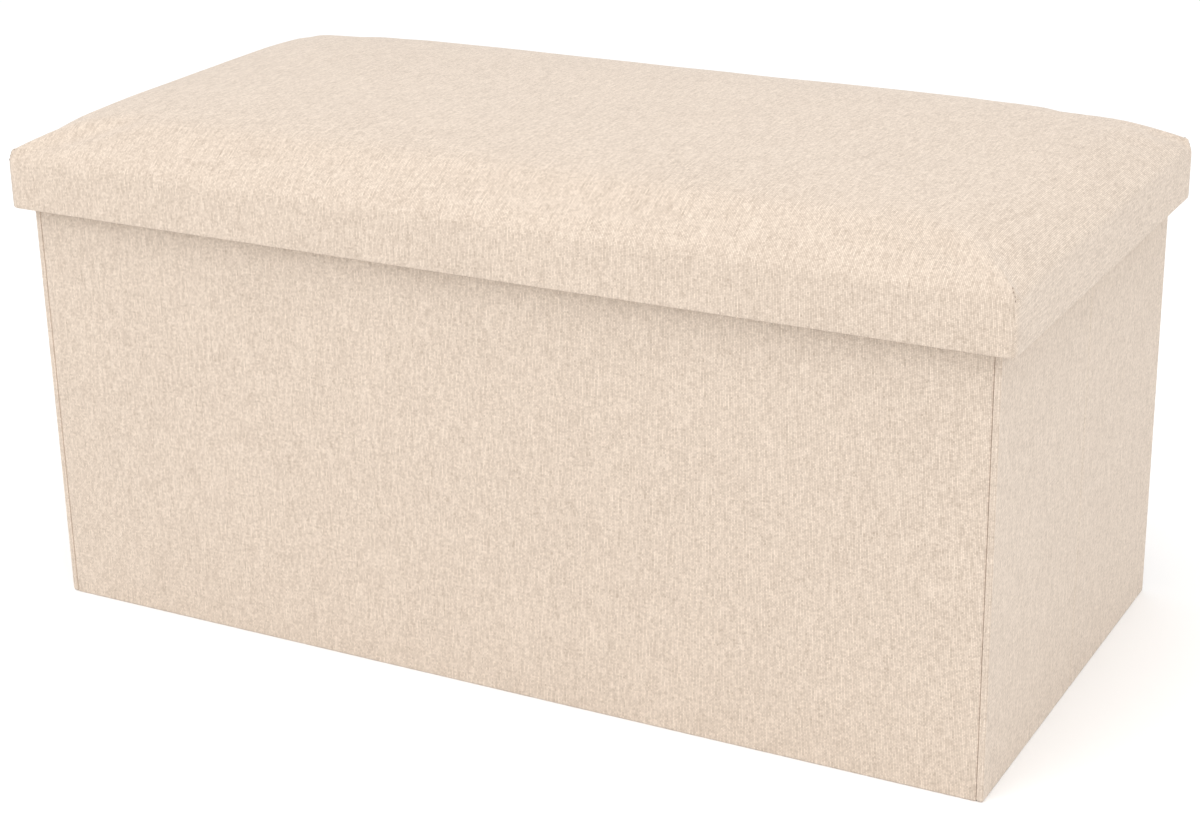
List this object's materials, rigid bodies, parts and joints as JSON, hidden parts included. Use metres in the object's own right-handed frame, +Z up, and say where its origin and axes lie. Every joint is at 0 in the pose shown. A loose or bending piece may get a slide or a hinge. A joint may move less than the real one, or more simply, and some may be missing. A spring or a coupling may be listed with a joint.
{
  "type": "storage bench",
  "caption": "Folding storage bench with a lift-off padded lid, fabric-covered board walls on cloth hinges and a drop-in floor panel.",
  "frame": {"origin": "on the ground, under the middle of the bench", "axes": "+X along the bench's length, -Y towards its front, +Z up"},
  "size_m": [0.76, 0.38, 0.38],
  "materials": {
    "lid_linen": "beige slubbed linen-look upholstery weave",
    "wall_linen": "beige slubbed linen-look weave",
    "hinge_tape": "woven binding tape",
    "lining_cloth": "bonded non-woven lining",
    "webbing": "ribbed grosgrain",
    "foam": "open-cell foam",
    "staple_wire": "galvanised wire",
    "fibreboard": "raw fibreboard"
  },
  "bodies": {
    "floor_panel": {"floor_board": "fibreboard", "floor_cloth": "lining_cloth", "floor_undercloth": "lining_cloth", "floor_pull_tab": "webbing"},
    "back_wall": {"back_board": "fibreboard", "back_cover": "wall_linen", "back_lining": "lining_cloth", "right_back_hinge_tape": "hinge_tape", "left_back_hinge_tape": "hinge_tape"},
    "right_back_wall": {"right_back_board": "fibreboard", "right_back_cover": "wall_linen", "right_back_lining": "lining_cloth"},
    "right_front_wall": {"right_front_board": "fibreboard", "right_front_cover": "wall_linen", "right_front_lining": "lining_cloth", "right_fold_strip": "wall_linen", "right_front_hinge_tape": "hinge_tape"},
    "front_wall": {"front_board": "fibreboard", "front_cover": "wall_linen", "front_lining": "lining_cloth"},
    "left_back_wall": {"left_back_board": "fibreboard", "left_back_cover": "wall_linen", "left_back_lining": "lining_cloth"},
    "left_front_wall": {"left_front_board": "fibreboard", "left_front_cover": "wall_linen", "left_front_lining": "lining_cloth", "left_fold_strip": "wall_linen", "left_front_hinge_tape": "hinge_tape"},
    "lid": {"lid_board": "fibreboard", "lid_front_rail": "fibreboard", "lid_back_rail": "fibreboard", "lid_right_rail": "fibreboard", "lid_left_rail": "fibreboard", "lid_foam": "foam", "lid_cover": "lid_linen", "lid_lining": "lining_cloth", "lid_staples": "staple_wire"}
  },
  "joints": [
    {"name": "shell_lift", "type": "slide", "parent": "floor_panel", "child": "back_wall", "axis": [0, 0, 1], "range_m": [0, 0.184]},
    {"name": "right_back_corner", "type": "hinge", "parent": "back_wall", "child": "right_back_wall", "pos_m": [0.363, 0.173, 0], "axis": [0, 0, -1], "range_deg": [0, 88], "deforming": ["right_back_hinge_tape"]},
    {"name": "right_middle_fold", "type": "hinge", "parent": "right_back_wall", "child": "right_front_wall", "pos_m": [0.368, 0, 0], "axis": [0, 0, 1], "range_deg": [0, 176], "deforming": ["right_fold_strip"]},
    {"name": "right_front_corner", "type": "hinge", "parent": "right_front_wall", "child": "front_wall", "pos_m": [0.363, -0.173, 0], "axis": [0, 0, -1], "range_deg": [0, 88], "deforming": ["right_front_hinge_tape"]},
    {"name": "left_back_corner", "type": "hinge", "parent": "back_wall", "child": "left_back_wall", "pos_m": [-0.363, 0.173, 0], "axis": [0, 0, 1], "range_deg": [0, 88], "deforming": ["left_back_hinge_tape"]},
    {"name": "left_middle_fold", "type": "hinge", "parent": "left_back_wall", "child": "left_front_wall", "pos_m": [-0.368, 0, 0], "axis": [0, 0, -1], "range_deg": [0, 176], "deforming": ["left_fold_strip", "left_front_hinge_tape"]},
    {"name": "lid_lift", "type": "slide", "parent": "back_wall", "child": "lid", "axis": [0, 0, 1], "range_m": [0, 0.3]}
  ],
  "couplings": [
    {"joint": "right_back_corner", "follows": "shell_lift", "rad_per_m": 8.3333},
    {"joint": "right_middle_fold", "follows": "shell_lift", "rad_per_m": 16.667},
    {"joint": "right_front_corner", "follows": "shell_lift", "rad_per_m": 8.3333},
    {"joint": "left_back_corner", "follows": "shell_lift", "rad_per_m": 8.3333},
    {"joint": "left_middle_fold", "follows": "shell_lift", "rad_per_m": 16.667}
  ]
}
